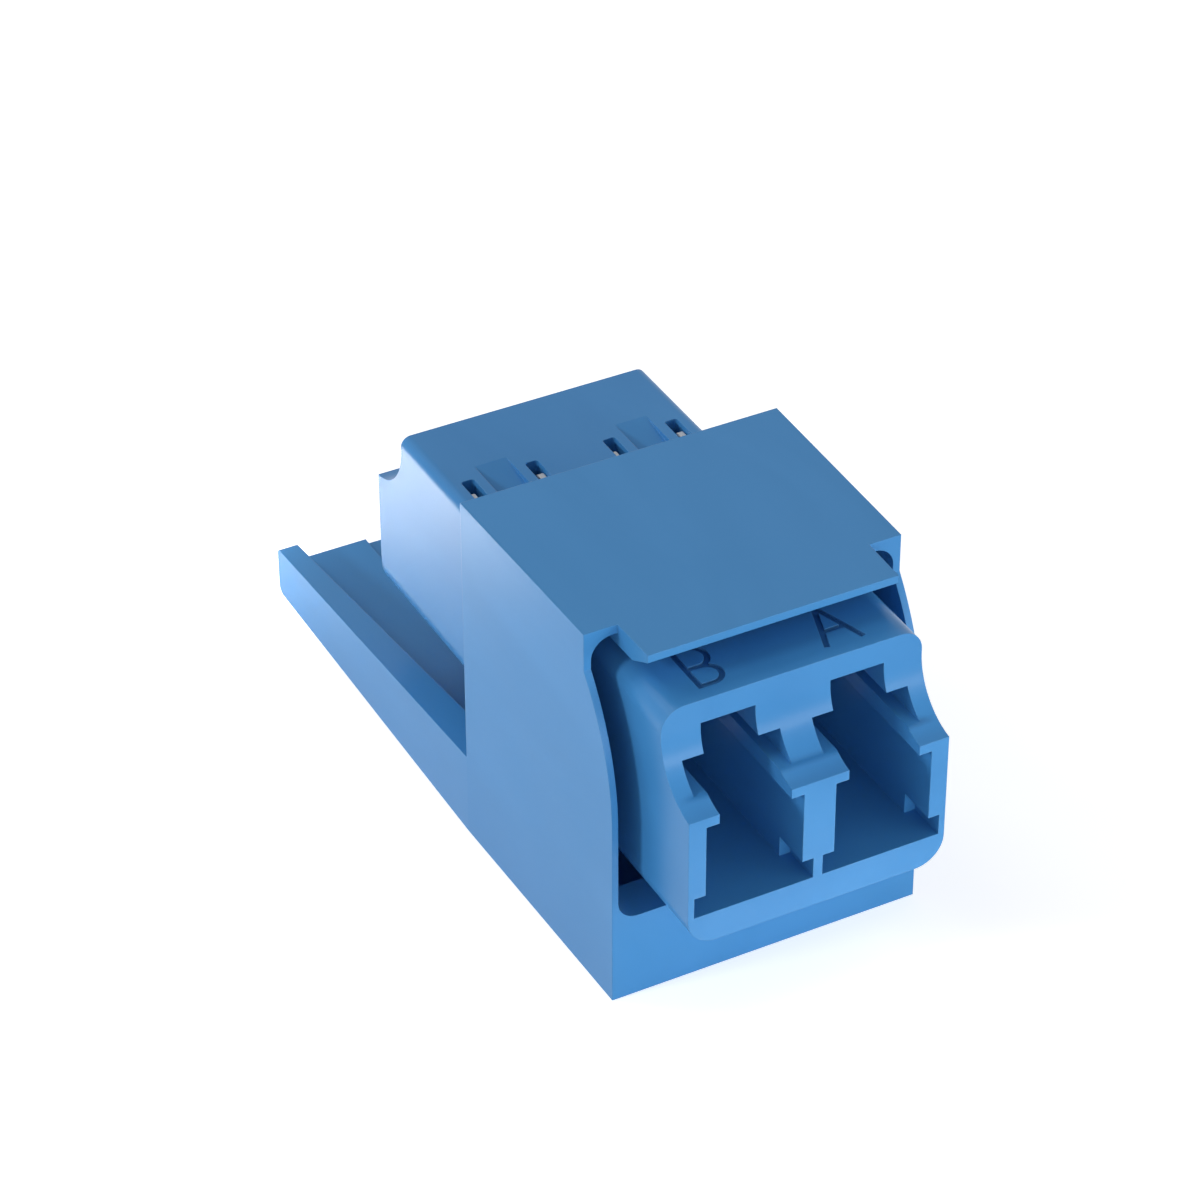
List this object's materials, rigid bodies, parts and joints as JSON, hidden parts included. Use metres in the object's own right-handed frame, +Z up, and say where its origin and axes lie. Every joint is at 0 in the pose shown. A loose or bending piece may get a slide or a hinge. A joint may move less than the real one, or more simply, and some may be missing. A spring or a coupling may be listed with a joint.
{
  "type": "duplex fibre adapter in snap-in carrier",
  "caption": "Duplex LC fibre adapter with ports at both ends, seated in a snap-in panel carrier with a channel-shaped release arm.",
  "frame": {"origin": "on the carrier's underside, below the middle of the whole length and width", "axes": "+X across the ports, +Y from the front ports along the release arm, +Z up from the underside"},
  "size_m": [0.0158, 0.039, 0.0182],
  "materials": {
    "carrier_plastic": "smooth blue moulded plastic",
    "housing_plastic": "smooth blue moulded plastic",
    "holder_plastic": "natural white moulded plastic",
    "sleeve_ceramic": "polished white zirconia"
  },
  "bodies": {
    "root": {"carrier": "carrier_plastic", "front_housing": "housing_plastic", "rear_housing": "housing_plastic", "sleeve_holder_front": "holder_plastic", "sleeve_holder_rear": "holder_plastic", "split_sleeve_a": "sleeve_ceramic", "split_sleeve_b": "sleeve_ceramic"}
  },
  "joints": []
}
